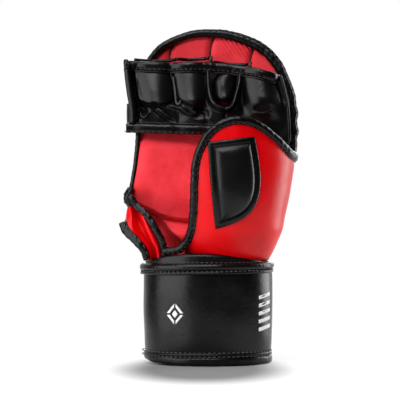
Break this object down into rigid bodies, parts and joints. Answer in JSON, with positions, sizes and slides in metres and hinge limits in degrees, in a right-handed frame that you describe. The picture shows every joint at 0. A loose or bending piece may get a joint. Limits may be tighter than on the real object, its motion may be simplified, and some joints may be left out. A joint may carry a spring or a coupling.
{
  "type": "sparring glove",
  "caption": "Padded mixed martial arts sparring glove for the right hand: open palm, separate finger loops, covered thumb, knuckle pad and a wrap-round wrist strap.",
  "frame": {"origin": "centre of the wrist opening, in the plane of the cuff's lower edge", "axes": "+Z from the cuff to the fingertips, -Y towards the palm side, +X towards the thumb"},
  "size_m": [0.1267, 0.096, 0.2415],
  "materials": {
    "red_leather": "glossy, smooth",
    "black_leather": "semi-gloss, fine grain",
    "binding": "semi-gloss, puckered and stitched",
    "lining": "matt, fine weave",
    "foam": "matt closed-cell foam",
    "hook_and_loop": "matt pile"
  },
  "bodies": {
    "cuff": {"strap_shell": "black_leather", "strap_foam": "foam", "strap_bottom_binding": "binding", "strap_top_binding": "binding", "strap_inner_turn": "black_leather", "inner_turn_rim": "black_leather", "wrist_sleeve": "lining", "wrist_neck": "red_leather", "strap_loop_patch": "hook_and_loop", "strap_tab_root": "black_leather"},
    "strap_end": {"strap_tab": "black_leather", "tab_hook_patch": "hook_and_loop"},
    "hand": {"hand_back_shell": "red_leather", "hand_back_foam": "foam", "hand_back_lining": "lining", "ulnar_piping": "black_leather", "heel_panel": "red_leather", "heel_cord": "black_leather", "heel_binding": "binding", "thumb_gusset": "red_leather"},
    "fingers": {"knuckle_shell": "black_leather", "knuckle_foam": "foam", "finger_lining": "lining", "knuckle_fold": "black_leather", "knuckle_ribs": "black_leather", "knuckle_binding": "binding", "finger_loop_front": "black_leather", "finger_loop_bottom_binding": "binding", "finger_loop_top_binding": "binding", "finger_loop_backs": "lining", "finger_dividers": "lining", "little_finger_wall": "black_leather", "index_finger_wall": "black_leather"},
    "thumb": {"thumb_shell": "red_leather", "thumb_foam": "foam", "thumb_lining": "lining", "thumb_binding": "binding", "thumb_badge": "black_leather", "thumb_badge_border": "black_leather"}
  },
  "joints": [
    {"name": "wrist_flex", "type": "hinge", "parent": "cuff", "child": "hand", "pos_m": [0, 0, 0.082], "axis": [1, 0, 0], "range_deg": [-10, 10], "stiffness_Nm_per_rad": 1.5, "deforming": ["wrist_neck"]},
    {"name": "knuckle_flex", "type": "hinge", "parent": "hand", "child": "fingers", "pos_m": [0.004, 0.008, 0.158], "axis": [1, 0, 0], "range_deg": [-8, 20], "stiffness_Nm_per_rad": 1.5, "deforming": ["knuckle_fold"]},
    {"name": "thumb_swing", "type": "hinge", "parent": "hand", "child": "thumb", "pos_m": [0.058, -0.001, 0.12], "axis": [0, 0, 1], "range_deg": [0, 30], "stiffness_Nm_per_rad": 0.5, "deforming": ["thumb_gusset"]},
    {"name": "strap_peel", "type": "hinge", "parent": "cuff", "child": "strap_end", "pos_m": [0.034, 0.03003, 0.0375], "axis": [0, 0, -1], "range_deg": [0, 110]}
  ]
}
